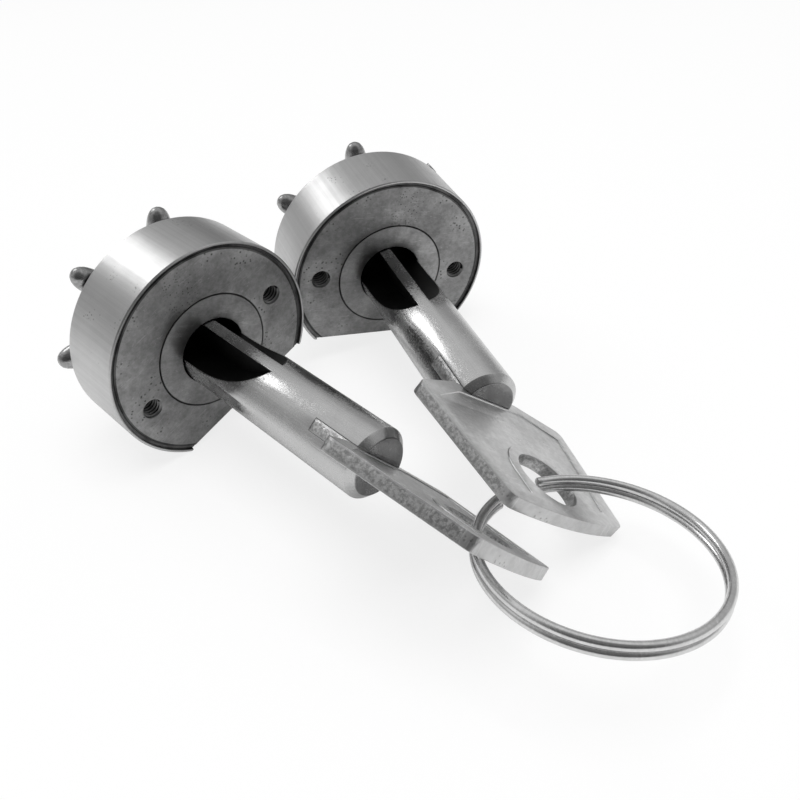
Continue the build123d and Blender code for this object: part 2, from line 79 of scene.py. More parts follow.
# Camera, the pale surface that the locks lie on, and the light. Lens and place were fitted to
# the photograph. The metal mirrors a room that is dimmer low down, with a band of light just
# above the surface, a dark patch behind the locks and another on the camera's side.
CAMERA_FROM_LOCK = Vector((21.92, -86.18, 56.787)) * MM
CAMERA_RIGHT = Vector((0.995841, -0.055839, -0.071988))
CAMERA_DOWN = Vector((-0.091106, -0.610352, -0.786873))
CAMERA_LENS = 37.94
CAMERA_SENSOR = 36
CAMERA_NEAR, CAMERA_FAR = 0.005, 10
SURFACE_SIZE = 3.0
SURFACE_COLOUR = (0.86, 0.86, 0.86, 1)
SURFACE_ROUGHNESS = 0.9
SURFACE_GLOW_SEEN, SURFACE_GLOW_MIRRORED = 0.80, 0.20
ROOM_LIGHT, ROOM_RISES = (0.46, 0.80), (0.40, 0.85)
BAND_LIGHT, BAND_FOOT, BAND_TOP = 0.5, (0.02, 0.04), (0.08, 0.12)
# Each dark patch: its direction, the cosines at which it begins and is full, the light left
DARK_PATCHES = (
    ((0.03, 0.996, 0.07), (0.95, 0.995), 0.3),
    ((0.0, -0.79, 0.61), (0.45, 0.85), 0.25),
)
# Each lamp: its name, direction, distance and size in metres, power, whether metal mirrors it
LAMPS = (
    ("lamp_back_left", (-0.557, 0.557, 0.616), 0.50, 0.17, 0.30, True),
    ("lamp_above", (0.1, -0.1, 0.99), 0.60, 0.40, 2.6, False),
)


def add_node(tree, kind, inputs=None, **settings):
    # A node with its settings; an input takes a number, a colour or another node's output
    node = tree.nodes.new(kind)
    for name, value in settings.items():
        setattr(node, name, value)
    for name, value in (inputs or {}).items():
        if isinstance(value, bpy.types.NodeSocket):
            tree.links.new(value, node.inputs[name])
        else:
            node.inputs[name].default_value = value
    return node


def empty_tree(owner):
    owner.use_nodes = True
    owner.node_tree.nodes.clear()
    return owner.node_tree


def calculate(tree, operation, first, second=0.0):
    return add_node(tree, "ShaderNodeMath", {0: first, 1: second}, operation=operation).outputs[0]


def calculate_vector(tree, operation, *inputs):
    # The node of a vector operation; its result is outputs[0], or "Value" where it is a number
    return add_node(tree, "ShaderNodeVectorMath", dict(enumerate(inputs)), operation=operation)


def split(tree, vector):
    return add_node(tree, "ShaderNodeSeparateXYZ", {0: vector}).outputs


def remap(tree, value, low, high, to_low=0.0, to_high=1.0, kind="SMOOTHSTEP"):
    # A value that goes from one level to another while what it is given goes from low to high
    inputs = {0: value, 1: low, 2: high, 3: to_low, 4: to_high}
    return add_node(tree, "ShaderNodeMapRange", inputs, interpolation_type=kind).outputs[0]


camera_data = bpy.data.cameras.new("camera")
camera_data.lens = CAMERA_LENS
camera_data.sensor_width = CAMERA_SENSOR
camera_data.clip_start, camera_data.clip_end = CAMERA_NEAR, CAMERA_FAR
camera = bpy.data.objects.new("camera", camera_data)
camera_at = drum_place["a"].translation + CAMERA_FROM_LOCK
camera.matrix_world = columns(CAMERA_RIGHT, -CAMERA_DOWN, -CAMERA_RIGHT.cross(CAMERA_DOWN), camera_at)
bpy.context.scene.collection.objects.link(camera)
bpy.context.scene.camera = camera
bpy.context.scene.view_settings.view_transform = "Standard"

surface_paint = bpy.data.materials.new("pale_surface")
tree = empty_tree(surface_paint)
path = add_node(tree, "ShaderNodeLightPath").outputs
seen = calculate(tree, "MULTIPLY", path["Is Camera Ray"], SURFACE_GLOW_SEEN)
mirrored = calculate(tree, "MAXIMUM", path["Is Glossy Ray"], path["Is Transmission Ray"])
mirrored = calculate(tree, "MULTIPLY", mirrored, SURFACE_GLOW_MIRRORED)
inputs = {"Base Color": SURFACE_COLOUR, "Roughness": SURFACE_ROUGHNESS}
paint = add_node(tree, "ShaderNodeBsdfPrincipled", inputs)
glow = add_node(tree, "ShaderNodeEmission", {"Color": (1, 1, 1, 1), "Strength": 1.0})
share = calculate(tree, "MAXIMUM", seen, mirrored)
blend = add_node(tree, "ShaderNodeMixShader", {0: share, 1: paint.outputs[0], 2: glow.outputs[0]})
add_node(tree, "ShaderNodeOutputMaterial", {"Surface": blend.outputs[0]})
surface_bm = bmesh.new()
bmesh.ops.create_grid(surface_bm, x_segments=1, y_segments=1, size=SURFACE_SIZE / 2)
surface_mesh = bpy.data.meshes.new("surface")
surface_bm.to_mesh(surface_mesh)
surface_bm.free()
surface_mesh.materials.append(surface_paint)
surface = bpy.data.objects.new("surface", surface_mesh)
bpy.context.scene.collection.objects.link(surface)

world = bpy.data.worlds.new("soft_light")
bpy.context.scene.world = world
tree = empty_tree(world)
path = add_node(tree, "ShaderNodeLightPath").outputs
direction = add_node(tree, "ShaderNodeTexCoord").outputs["Generated"]
height = split(tree, direction)[2]
level = remap(tree, height, *ROOM_RISES, *ROOM_LIGHT)
above_foot = remap(tree, height, *BAND_FOOT, kind="LINEAR")
band = remap(tree, height, *BAND_TOP, BAND_LIGHT, 0.0, kind="LINEAR")
level = calculate(tree, "ADD", level, calculate(tree, "MULTIPLY", above_foot, band))
for toward, nearness, light_left in DARK_PATCHES:
    facing = calculate_vector(tree, "DOT_PRODUCT", direction, toward).outputs["Value"]
    level = calculate(tree, "MULTIPLY", level, remap(tree, facing, *nearness, 1.0, light_left))
room = add_node(tree, "ShaderNodeBackground", {"Color": (1, 1, 1, 1), "Strength": level})
white = add_node(tree, "ShaderNodeBackground", {"Color": (1, 1, 1, 1), "Strength": 1.0})
inputs = {0: path["Is Camera Ray"], 1: room.outputs[0], 2: white.outputs[0]}
backdrop = add_node(tree, "ShaderNodeMixShader", inputs)
add_node(tree, "ShaderNodeOutputWorld", {"Surface": backdrop.outputs[0]})

for name, toward, distance, size, power, mirrored in LAMPS:
    lamp_data = bpy.data.lights.new(name, "AREA")
    lamp_data.size = size
    lamp_data.energy = power
    lamp = bpy.data.objects.new(name, lamp_data)
    lamp.location = Vector(toward) * distance
    lamp.rotation_mode = "QUATERNION"
    lamp.rotation_quaternion = Vector(toward).to_track_quat("Z", "Y")
    lamp.visible_glossy = mirrored
    bpy.context.scene.collection.objects.link(lamp)


# Drum sleeve: a thin steel tube drawn and turned, pressed around the lock's body, with a flat
# milled along it. A narrow lip stands proud of the face with a groove just inside it. Drawing
# left fine streaks along the axis, small pits dot the steel, and painted shade darkens the groove.
DRUM_R = 14.0
DRUM_LENGTH = 9.2
SLEEVE_BORE = 13.3
FLAT_FROM_AXIS = 9.6
LIP_WALL = 0.3
LIP_CHAMFER = 0.12
LIP_INNER_CHAMFER = 0.06
LIP_SLOPE = 0.04
# Painted shade in the groove: it starts this far in from the outside and is full at the lip's wall, and along the
# axis it is full at the first depth and gone at the second
LIP_UNSHADED_WALL = 0.25
GROOVE_DEPTH = 0.42
GROOVE_SHADE_FULL, GROOVE_SHADE_ENDS = -0.3, -0.1
BACK_CHAMFER = 0.2
SLEEVE_STEPS = 192
SLEEVE_GREYS = (0.42, 0.56)
SLEEVE_PIT_GREY = 0.2
SLEEVE_GROOVE_SHADE_GREYS = (0.04, 0.14)
SLEEVE_ROUGHNESS = (0.38, 0.29)
SCRATCH_TURNS = ((0.3, 0.2, 0.4), (1.1, 0.9, 2.0), (2.2, 0.4, 1.2))
RELIEF_STRENGTH = 0.5
TURNED_WELD = 0.0005


def effect(name, *labels):
    # A node group that takes a vector and named values and gives one mask. Returns it with the
    # sockets of what it is given and the socket that takes its result.
    group = bpy.data.node_groups.new(name, "ShaderNodeTree")
    group.interface.new_socket("Vector", in_out="INPUT", socket_type="NodeSocketVector")
    for label in labels:
        group.interface.new_socket(label, in_out="INPUT", socket_type="NodeSocketFloat")
    group.interface.new_socket("Mask", in_out="OUTPUT", socket_type="NodeSocketFloat")
    given = group.nodes.new("NodeGroupInput")
    result = group.nodes.new("NodeGroupOutput")
    return group, given.outputs, result.inputs["Mask"]


def noise(tree, vector, scale, detail, roughness):
    inputs = {"Vector": vector, "Scale": scale, "Detail": detail, "Roughness": roughness}
    return add_node(tree, "ShaderNodeTexNoise", inputs).outputs["Fac"]


def across_axis(tree, x, y):
    # The part of a place that lies across the z axis
    return add_node(tree, "ShaderNodeCombineXYZ", {0: x, 1: y}).outputs[0]


def length(tree, vector):
    return calculate_vector(tree, "LENGTH", vector).outputs["Value"]


# Streaks along the axis: fine around the piece, long along it
streaks, given, result = effect("drawn_streaks", "Around", "Along")
x, y, z = split(streaks, given["Vector"])
unit = calculate_vector(streaks, "NORMALIZE", across_axis(streaks, x, y)).outputs[0]
inputs = {0: unit, "Scale": given["Around"]}
around = add_node(streaks, "ShaderNodeVectorMath", inputs, operation="SCALE").outputs[0]
along = calculate(streaks, "MULTIPLY", z, given["Along"])
along = add_node(streaks, "ShaderNodeCombineXYZ", {2: along}).outputs[0]
where = calculate_vector(streaks, "ADD", around, along).outputs[0]
streaks.links.new(remap(streaks, noise(streaks, where, 1.0, 5.0, 0.65), 0.28, 0.72), result)

# Rings left by turning: the pattern changes with the distance from the axis alone
rings, given, result = effect("turned_rings", "Fineness")
x, y, z = split(rings, given["Vector"])
away = calculate(rings, "MULTIPLY", length(rings, across_axis(rings, x, y)), given["Fineness"])
where = add_node(rings, "ShaderNodeCombineXYZ", {0: away}).outputs[0]
rings.links.new(remap(rings, noise(rings, where, 1.0, 4.0, 0.6), 0.3, 0.7), result)

# Cloudy patches of handled metal
clouds, given, result = effect("clouds", "Scale")
patches = noise(clouds, given["Vector"], given["Scale"], 5.0, 0.6)
clouds.links.new(remap(clouds, patches, 0.3, 0.7), result)

# Small pits, gathered in patches
pits, given, result = effect("pits", "Scale", "Amount")
inputs = {"Vector": given["Vector"], "Scale": given["Scale"], "Randomness": 1.0}
from_middle = add_node(pits, "ShaderNodeTexVoronoi", inputs).outputs["Distance"]
spots = remap(pits, from_middle, 0.14, 0.34, 1.0, 0.0)
patches = noise(pits, given["Vector"], calculate(pits, "MULTIPLY", given["Scale"], 0.11), 2.0, 0.55)
patches = calculate(pits, "ADD", patches, given["Amount"])
pits.links.new(calculate(pits, "MULTIPLY", spots, remap(pits, patches, 1.02, 1.12)), result)

# Thin scratches that lie in three directions
scratches, given, result = effect("scratches", "Scale", "Width")
found = 0.0
for turn in SCRATCH_TURNS:
    inputs = {"Vector": given["Vector"], "Rotation": turn, "Scale": (1, 12, 1)}
    laid = add_node(scratches, "ShaderNodeMapping", inputs).outputs[0]
    lines = calculate(scratches, "SUBTRACT", noise(scratches, laid, given["Scale"], 2.0, 0.4), 0.62)
    lines = remap(scratches, calculate(scratches, "ABSOLUTE", lines), 0.0, given["Width"], 1.0, 0.0)
    found = calculate(scratches, "MAXIMUM", found, lines)
scratches.links.new(found, result)


def new_finish(name, place):
    # A material's empty tree, and Object coordinates in the piece's own frame
    material = bpy.data.materials.new(name)
    tree = empty_tree(material)
    spot = add_node(tree, "ShaderNodeTexCoord").outputs["Object"]
    inputs = {"Vector": spot, "Location": place.translation, "Rotation": place.to_euler()}
    vector = add_node(tree, "ShaderNodeMapping", inputs, vector_type="TEXTURE").outputs[0]
    return material, tree, vector


def use(tree, group, vector, **values):
    # The mask of an effect with this material's own values
    node = tree.nodes.new("ShaderNodeGroup")
    node.node_tree = group
    tree.links.new(vector, node.inputs["Vector"])
    for label, value in values.items():
        node.inputs[label].default_value = value
    return node.outputs[0]


def fade(tree, value, low, high, to_low=0.0, to_high=1.0):
    # A mask that changes between two lengths in millimetres
    return remap(tree, value, low * MM, high * MM, to_low, to_high)


def weigh(tree, *shares):
    # The sum of masks, each times its share
    total = 0.0
    for mask, share in shares:
        total = calculate(tree, "ADD", total, calculate(tree, "MULTIPLY", mask, share))
    return total


def mix(tree, factor, first, second):
    # Between two greys or colours, by a mask
    node = add_node(tree, "ShaderNodeMix", {0: factor}, data_type="RGBA")
    for socket, value in ((node.inputs[6], first), (node.inputs[7], second)):
        if isinstance(value, bpy.types.NodeSocket):
            tree.links.new(value, socket)
        else:
            socket.default_value = (value, value, value, 1)
    return node.outputs[2]


def bare_metal(tree, colour, roughness, height, depth):
    # Metal with a relief that is depth millimetres deep where height is 1
    inputs = {"Strength": RELIEF_STRENGTH, "Distance": depth * MM, "Height": height}
    relief = add_node(tree, "ShaderNodeBump", inputs).outputs[0]
    inputs = {"Base Color": colour, "Roughness": roughness, "Metallic": 1.0, "Normal": relief}
    shader = add_node(tree, "ShaderNodeBsdfPrincipled", inputs)
    add_node(tree, "ShaderNodeOutputMaterial", {"Surface": shader.outputs[0]})


def outline(bm, points):
    # The corners and sides of a closed outline of (radius, z) points in millimetres
    corners = [bm.verts.new((radius * MM, 0, z * MM)) for radius, z in points]
    sides = [bm.edges.new(pair) for pair in zip(corners, corners[1:] + corners[:1])]
    return corners, sides


def turned(profile, steps):
    # Turns a closed outline about the z axis
    bm = bmesh.new()
    corners, sides = outline(bm, profile)
    bmesh.ops.spin(
        bm, geom=corners + sides, axis=(0, 0, 1), cent=(0, 0, 0), angle=2 * pi,
        steps=steps, use_merge=True,
    )
    bmesh.ops.remove_doubles(bm, verts=bm.verts, dist=TURNED_WELD * MM)
    bmesh.ops.recalc_face_normals(bm, faces=bm.faces)
    return bm


def cut_flat(bm, distance):
    # Takes away what lies further than the distance below the axis, and closes the cut
    geometry = bm.verts[:] + bm.edges[:] + bm.faces[:]
    cut = bmesh.ops.bisect_plane(
        bm, geom=geometry, plane_co=(0, -distance * MM, 0), plane_no=(0, -1, 0), clear_outer=True,
    )
    edges = [item for item in cut["geom_cut"] if isinstance(item, bmesh.types.BMEdge)]
    bmesh.ops.edgenet_fill(bm, edges=edges)
    bmesh.ops.recalc_face_normals(bm, faces=bm.faces)


def add_piece(name, bm, body, finish, replaced=(), place=None, smooth=40.0):
    # Makes an object of a mesh that was built at the origin or already lies in its place
    if place is not None:
        bmesh.ops.transform(bm, matrix=place, verts=bm.verts)
    mesh = bpy.data.meshes.new(name)
    bm.to_mesh(mesh)
    bm.free()
    mesh.polygons.foreach_set("use_smooth", [True] * len(mesh.polygons))
    mesh.set_sharp_from_angle(angle=radians(smooth))
    mesh.materials.append(finish)
    piece = bpy.data.objects.new(name, mesh)
    bpy.context.scene.collection.objects.link(piece)
    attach(piece, body)
    if replaced:
        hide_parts(*replaced)


def sleeve_steel(lock):
    material, tree, vector = new_finish("sleeve_steel_" + lock, drum_place[lock])
    x, y, z = split(tree, vector)
    fine = use(tree, streaks, vector, Around=420.0, Along=50.0)
    broad = use(tree, streaks, vector, Around=22.0, Along=25.0)
    cloudy = use(tree, clouds, vector, Scale=300.0)
    specks = use(tree, pits, vector, Scale=2600.0, Amount=0.42)
    shade = weigh(tree, (fine, 0.4), (broad, 0.4), (cloudy, 0.2))
    colour = mix(tree, shade, *SLEEVE_GREYS)
    colour = mix(tree, specks, colour, SLEEVE_PIT_GREY)
    # Painted shade in the groove, darker deeper in and inside the lip's wall
    deep = fade(tree, z, GROOVE_SHADE_FULL, GROOVE_SHADE_ENDS, 1.0, 0.0)
    radius = length(tree, across_axis(tree, x, y))
    inside = fade(tree, radius, DRUM_R - LIP_UNSHADED_WALL, DRUM_R - LIP_WALL)
    darkening = calculate(tree, "MULTIPLY", deep, inside)
    colour = mix(tree, darkening, colour, mix(tree, cloudy, *SLEEVE_GROOVE_SHADE_GREYS))
    roughness = remap(tree, shade, 0.0, 1.0, *SLEEVE_ROUGHNESS)
    height = calculate(tree, "SUBTRACT", calculate(tree, "MULTIPLY", fine, 0.2), specks)
    bare_metal(tree, colour, roughness, height, depth=0.02)
    return material


LIP_IN = DRUM_R - LIP_WALL
SLEEVE_PROFILE = (
    (DRUM_R - LIP_CHAMFER, 0), (LIP_IN + LIP_INNER_CHAMFER, 0), (LIP_IN, -LIP_INNER_CHAMFER),
    (LIP_IN - LIP_SLOPE, -GROOVE_DEPTH), (SLEEVE_BORE, -GROOVE_DEPTH), (SLEEVE_BORE, -DRUM_LENGTH),
    (DRUM_R - BACK_CHAMFER, -DRUM_LENGTH), (DRUM_R, BACK_CHAMFER - DRUM_LENGTH), (DRUM_R, -LIP_CHAMFER),
)
for lock in "ab":
    bm = turned(SLEEVE_PROFILE, SLEEVE_STEPS)
    cut_flat(bm, FLAT_FROM_AXIS)
    add_piece(
        "drum_sleeve_skin_" + lock, bm, "drum_unit_" + lock, sleeve_steel(lock),
        ["drum_sleeve_" + lock], drum_place[lock], smooth=25.0,
    )


# Face plate: a cast zinc plate inside the sleeve, sunk a little behind the lip. Its face is
# dull, finely pitted towards the top and scratched by use. Its two holes are tapped M3, with
# the thread's ridges showing in their mouths.
TAPPED_HOLE_SPACING = 20.2
FACE_RECESS = 0.3
FACE_PLATE_T = 4.0
# The plate's dark rings: dirt in its seam with the plug, and painted shade of the sleeve's groove at its outer
# edge
PLATE_SEAMS_AND_GROOVE_SHADE = ((7.3, 7.56), (13.0, 13.5))
PLATE_PITS = 0.52
PITTED_AT = (0.6, 10.2)
PITTED_FULL, PITTED_ENDS = 1.2, 4.2
# Painted shade on the walls of the holes: full at the first depth behind the face, gone at the second, and
# reaching this far inside and outside the wall
WALL_SHADE_FULL, WALL_SHADE_ENDS = 0.35, 0.1
WALL_SHADE_INSIDE, WALL_SHADE_OUTSIDE = 0.1, 0.08
SOFT_EDGE = 0.03
FACE_GREYS = (0.20, 0.36)
FACE_PIT_GREY = 0.05
FACE_SCRATCH_GREY = 0.6
FACE_DIRT_AND_SHADE_GREYS = (0.03, 0.12)
FACE_ROUGHNESS = (0.55, 0.42)
THREAD_PITCH = 0.5
THREAD_ROOT_R, THREAD_CREST_R = 1.27, 1.06
THREAD_RIDGE = (
    (THREAD_ROOT_R, 0.0), (THREAD_ROOT_R, 0.44), (THREAD_CREST_R, 0.26), (THREAD_CREST_R, 0.18),
)
THREAD_TURNS = int((FACE_PLATE_T - THREAD_PITCH) / THREAD_PITCH)
THREAD_STEPS = 40 * THREAD_TURNS
SOLID_WELD = 0.002
FLAT_WITHIN = 0.3


def round_edges(bm, sharper_than, size, segments):
    # Rounds the edges at which two faces meet at more than an angle in degrees
    edges = [e for e in bm.edges if e.is_manifold and e.calc_face_angle() > radians(sharper_than)]
    bmesh.ops.bevel(
        bm, geom=edges, offset=size * MM, offset_type="OFFSET", segments=segments, profile=0.5,
        affect="EDGES", material=-1, clamp_overlap=True,
    )


def softened(node_name, size, sharper_than=30, segments=2):
    # A copy of a solid's mesh with its corners joined, its flat faces whole and its edges rounded
    bm = bmesh.new()
    bm.from_mesh(frame["nodes"][node_name].data)
    bmesh.ops.remove_doubles(bm, verts=bm.verts, dist=SOLID_WELD * MM)
    bmesh.ops.dissolve_limit(bm, angle_limit=radians(FLAT_WITHIN), verts=bm.verts, edges=bm.edges)
    round_edges(bm, sharper_than, size, segments)
    return bm


def between(tree, value, low, high):
    # 1 where a length lies between two values in millimetres
    above = fade(tree, value, low - SOFT_EDGE, low + SOFT_EDGE)
    under = fade(tree, value, high - SOFT_EDGE, high + SOFT_EDGE, 1.0, 0.0)
    return calculate(tree, "MULTIPLY", above, under)


def face_metal(name, place, pitted, seam_and_shade_rings, holes_at, hole_wall):
    # Dull metal of the drum's front. It is darker on rings, each from one radius to another: dirt
    # in seams, and painted shade at the sleeve's groove. Painted shade also darkens the walls of
    # its holes deeper in, and pits gather near the top of the face.
    material, tree, vector = new_finish(name, place)
    x, y, z = split(tree, vector)
    flat = across_axis(tree, x, y)
    radius = length(tree, flat)
    darkening = 0.0
    for inner, outer in seam_and_shade_rings:
        darkening = calculate(tree, "MAXIMUM", darkening, between(tree, radius, inner, outer))
    to_side = calculate(tree, "SUBTRACT", calculate(tree, "ABSOLUTE", x), holes_at * MM)
    to_hole = length(tree, across_axis(tree, to_side, y))
    # Painted shade on the walls of the holes, darker deeper in
    deep = fade(tree, z, -(FACE_RECESS + WALL_SHADE_FULL), -(FACE_RECESS + WALL_SHADE_ENDS), 1.0, 0.0)
    wall_shade = between(tree, to_hole, hole_wall - WALL_SHADE_INSIDE, hole_wall + WALL_SHADE_OUTSIDE)
    darkening = calculate(tree, "MAXIMUM", darkening, calculate(tree, "MULTIPLY", wall_shade, deep))
    middle = (PITTED_AT[0] * MM, PITTED_AT[1] * MM, 0)
    patch = calculate_vector(tree, "DISTANCE", flat, middle).outputs["Value"]
    patch = fade(tree, patch, PITTED_FULL, PITTED_ENDS, 1.0, 0.0)
    cloudy = use(tree, clouds, vector, Scale=200.0)
    grain = use(tree, clouds, vector, Scale=1800.0)
    gathered = use(tree, pits, vector, Scale=2600.0, Amount=0.66)
    gathered = calculate(tree, "MULTIPLY", gathered, patch)
    specks = use(tree, pits, vector, Scale=1900.0, Amount=pitted)
    specks = calculate(tree, "MAXIMUM", specks, gathered)
    lines = use(tree, scratches, vector, Scale=110.0, Width=0.006)
    shade = weigh(tree, (cloudy, 0.6), (grain, 0.4))
    colour = mix(tree, shade, *FACE_GREYS)
    colour = mix(tree, calculate(tree, "MULTIPLY", specks, 0.8), colour, FACE_PIT_GREY)
    colour = mix(tree, calculate(tree, "MULTIPLY", lines, 0.3), colour, FACE_SCRATCH_GREY)
    # Dirt in the seams, and painted shade at the groove and on the holes' walls
    colour = mix(tree, darkening, colour, mix(tree, cloudy, *FACE_DIRT_AND_SHADE_GREYS))
    roughness = remap(tree, shade, 0.0, 1.0, *FACE_ROUGHNESS)
    worn = calculate(tree, "MAXIMUM", specks, calculate(tree, "MULTIPLY", lines, 0.5))
    height = calculate(tree, "SUBTRACT", calculate(tree, "MULTIPLY", grain, 0.3), worn)
    bare_metal(tree, colour, roughness, height, depth=0.03)
    return material


def sweep(bm, section, angle, rise, steps):
    # Carries a section round the z axis while it rises along it, and gives its last place
    swept = bmesh.ops.spin(
        bm, geom=section, axis=(0, 0, 1), cent=(0, 0, 0), dvec=(0, 0, rise / steps), angle=angle,
        steps=steps, use_merge=False,
    )
    return [item for item in swept["geom_last"] if not isinstance(item, bmesh.types.BMFace)]


def close_end(bm, section):
    corners = [item for item in section if isinstance(item, bmesh.types.BMVert)]
    bmesh.ops.contextual_create(bm, geom=corners)
    bmesh.ops.recalc_face_normals(bm, faces=bm.faces)


for lock in "ab":
    face_finish = face_metal(
        "face_zinc_" + lock, drum_place[lock], PLATE_PITS, PLATE_SEAMS_AND_GROOVE_SHADE, TAPPED_HOLE_SPACING / 2,
        THREAD_ROOT_R,
    )
    add_piece(
        "face_plate_front_" + lock, softened("face_plate_" + lock, 0.1), "drum_unit_" + lock,
        face_finish, ["face_plate_" + lock],
    )
    plate_back = -FACE_RECESS - FACE_PLATE_T
    for side, hole in ((-1, "left"), (1, "right")):
        bm = bmesh.new()
        corners, sides = outline(bm, [(radius, plate_back + z) for radius, z in THREAD_RIDGE])
        bm.faces.new(corners)
        rise = THREAD_PITCH * MM * THREAD_TURNS
        close_end(bm, sweep(bm, corners + sides, 2 * pi * THREAD_TURNS, rise, THREAD_STEPS))
        hole_at = Matrix.Translation((side * TAPPED_HOLE_SPACING / 2 * MM, 0, 0))
        add_piece(
            "thread_" + hole + "_" + lock, bm, "drum_unit_" + lock, face_finish,
            (), drum_place[lock] @ hole_at,
        )


# Body ring, back cover, its screws and the stop pin: the drum's inner parts, turned from bar
# and held together by four countersunk screws from behind. Of them only the body ring shows,
# at the flat.
TURNED_PIT_GREY = 0.08
TURNED_ROUGH_SPREAD = 0.06


def turned_steel(name, place, dark, light, rough=0.38):
    # Bar turned to size, with the tool's rings on its faces
    material, tree, vector = new_finish(name, place)
    fine = use(tree, rings, vector, Fineness=9000.0)
    broad = use(tree, rings, vector, Fineness=1500.0)
    cloudy = use(tree, clouds, vector, Scale=260.0)
    specks = use(tree, pits, vector, Scale=2400.0, Amount=0.42)
    shade = weigh(tree, (fine, 0.35), (broad, 0.3), (cloudy, 0.35))
    colour = mix(tree, shade, dark, light)
    colour = mix(tree, specks, colour, TURNED_PIT_GREY)
    rough_to_smooth = (rough + TURNED_ROUGH_SPREAD, rough - TURNED_ROUGH_SPREAD)
    roughness = remap(tree, shade, 0.0, 1.0, *rough_to_smooth)
    bare_metal(tree, colour, roughness, calculate(tree, "SUBTRACT", fine, specks), depth=0.01)
    return material


def refinish(node_name, finish):
    # Gives a solid that keeps its own shape its finish
    for slot in frame["nodes"][node_name].material_slots:
        slot.material = finish


for lock in "ab":
    housing = turned_steel("housing_steel_" + lock, drum_place[lock], 0.30, 0.44)
    screws = turned_steel("screw_steel_" + lock, drum_place[lock], 0.36, 0.52, rough=0.3)
    refinish("body_ring_" + lock, housing)
    refinish("stop_pin_" + lock, screws)
    add_piece(
        "back_cover_turned_" + lock, softened("back_cover_" + lock, 0.1), "drum_unit_" + lock,
        housing, ["back_cover_" + lock],
    )
    add_piece(
        "cover_screws_turned_" + lock, softened("cover_screws_" + lock, 0.05), "drum_unit_" + lock,
        screws, ["cover_screws_" + lock],
    )


# Plug: the turning core. Its face is level with the face plate and of the same dull tone, a
# thin dark seam between them, and the key enters a round hole in its middle.
PLUG_SEAMS = ((7.32, 7.6),)
PLUG_PITS = 0.36
KEYHOLE_R = 4.34
for lock in "ab":
    # The plug's finish paints shade on the wall of the key's hole, deeper in
    plug_finish = face_metal(
        "plug_steel_" + lock, plug_place[lock], PLUG_PITS, PLUG_SEAMS, 0.0, KEYHOLE_R,
    )
    add_piece(
        "plug_core_" + lock, softened("plug_" + lock, 0.07), "plug_unit_" + lock,
        plug_finish, ["plug_" + lock],
    )


# Rear head, guide pin and rear cap: turned steel behind the drum. Two screws hold the head to
# the plug, and three the cap to the head. The head carries the radial pins, and the guide pin
# is pressed into its side.
for lock in "ab":
    steel = turned_steel("head_steel_" + lock, plug_place[lock], 0.32, 0.50)
    bright = turned_steel("head_screw_steel_" + lock, plug_place[lock], 0.40, 0.58, rough=0.28)
    for node, edge, slot, finish in (
        ("pin_head", 0.12, "plug_steel", steel),
        ("rear_cap", 0.1, "plug_steel", steel),
        ("guide_pin", 0.1, "plug_steel", bright),
        ("head_screws", 0.05, "screw_steel", bright),
        ("cap_screws", 0.05, "screw_steel", bright),
    ):
        solid = node + "_" + lock
        add_piece(
            node + "_turned_" + lock, softened(solid, edge), "plug_unit_" + lock, finish, [solid],
        )


# Radial pins: hardened steel pins with bullet noses that stand out beyond the drum while the
# key holds them apart, polished to a mid grey with faint rings and scratches. The cone that
# spreads them, its spring and the band through them are hidden and keep their solids' shapes.
PIN_R = 1.5
PIN_TIP_RADIUS = 14.75
PIN_TAIL_R = 1.2
PIN_STEP_RADIUS = 7.6
PIN_Z = -11.1
PIN_ANGLES = {"first_pin": -8.0, "second_pin": 43.7, "third_pin": 89.0}
# The tail's radii with their distances from the drum's axis, the nose's with those from its tip
PIN_TAIL = (
    (0, 3.9), (0.4, 3.9), (PIN_TAIL_R, 4.7), (PIN_TAIL_R, PIN_STEP_RADIUS), (PIN_R, PIN_STEP_RADIUS),
)
PIN_NOSE = ((PIN_R, 2.3), (1.42, 1.7), (1.28, 1.15), (1.06, 0.65), (0.76, 0.27), (0.4, 0.07), (0, 0))
PIN_STEPS = 48
PIN_GREYS = (0.22, 0.42)
PIN_SCRATCH_GREY = 0.6
PIN_ROUGHNESS = (0.28, 0.16)


def pin_steel(name, place):
    material, tree, vector = new_finish(name, place)
    fine = use(tree, rings, vector, Fineness=6000.0)
    cloudy = use(tree, clouds, vector, Scale=900.0)
    lines = use(tree, scratches, vector, Scale=300.0, Width=0.01)
    shade = weigh(tree, (fine, 0.4), (cloudy, 0.6))
    colour = mix(tree, shade, *PIN_GREYS)
    colour = mix(tree, calculate(tree, "MULTIPLY", lines, 0.4), colour, PIN_SCRATCH_GREY)
    roughness = remap(tree, shade, 0.0, 1.0, *PIN_ROUGHNESS)
    bare_metal(tree, colour, roughness, calculate(tree, "SUBTRACT", fine, lines), depth=0.006)
    return material


for lock in "ab":
    for name, angle in PIN_ANGLES.items():
        at_pin = key_place[lock] @ Matrix.Rotation(radians(angle), 4, "Z")
        at_pin = at_pin @ Matrix.Translation((0, 0, PIN_Z * MM)) @ Matrix.Rotation(pi / 2, 4, "Y")
        nose = tuple((radius, PIN_TIP_RADIUS - behind) for radius, behind in PIN_NOSE)
        add_piece(
            name + "_bullet_" + lock, turned(PIN_TAIL + nose, PIN_STEPS), name + "_unit_" + lock,
            pin_steel(name + "_steel_" + lock, at_pin), [name + "_" + lock], at_pin,
            smooth=50.0,
        )
    cone = turned_steel("cone_steel_" + lock, plug_place[lock], 0.34, 0.5, rough=0.3)
    refinish("spreader_cone_" + lock, cone)
    wire = turned_steel("spring_wire_" + lock, plug_place[lock], 0.38, 0.55, rough=0.26)
    refinish("pin_band_" + lock, wire)
    refinish("cone_spring_" + lock, wire)


